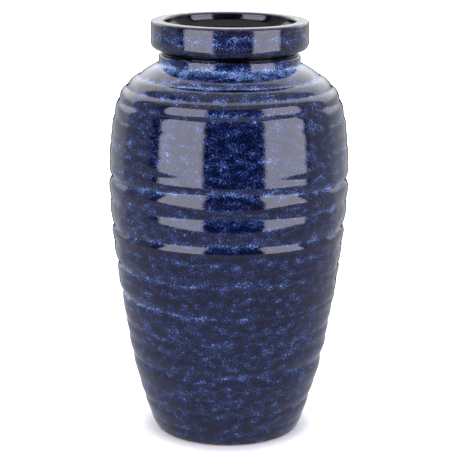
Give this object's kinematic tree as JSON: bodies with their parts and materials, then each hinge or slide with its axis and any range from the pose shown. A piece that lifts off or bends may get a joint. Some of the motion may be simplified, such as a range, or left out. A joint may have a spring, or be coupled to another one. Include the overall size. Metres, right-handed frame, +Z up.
{
  "type": "flower vase",
  "caption": "Tall stoneware vase with finger rings, an undercut neck and a square-edged rim collar under a glossy dark blue glaze; holds cut stems and water.",
  "frame": {"origin": "centre of the foot ring, on the surface the vase stands on", "axes": "+Z up along the wheel's axis towards the mouth; the vase is a body of revolution, and -Y is taken as its front"},
  "size_m": [0.2038, 0.2038, 0.355],
  "materials": {
    "blue_glaze": "glossy reactive glaze",
    "liner_glaze": "glossy",
    "stoneware": "unglazed, matt",
    "slip": "matt"
  },
  "bodies": {
    "root": {"foot_base": "stoneware", "lower_body": "stoneware", "upper_body": "stoneware", "neck_ring": "stoneware", "rim_collar": "stoneware", "base_slip": "slip", "belly_slip": "slip", "shoulder_slip": "slip", "collar_slip": "slip", "outer_glaze": "blue_glaze", "liner_glaze": "liner_glaze"}
  },
  "joints": []
}
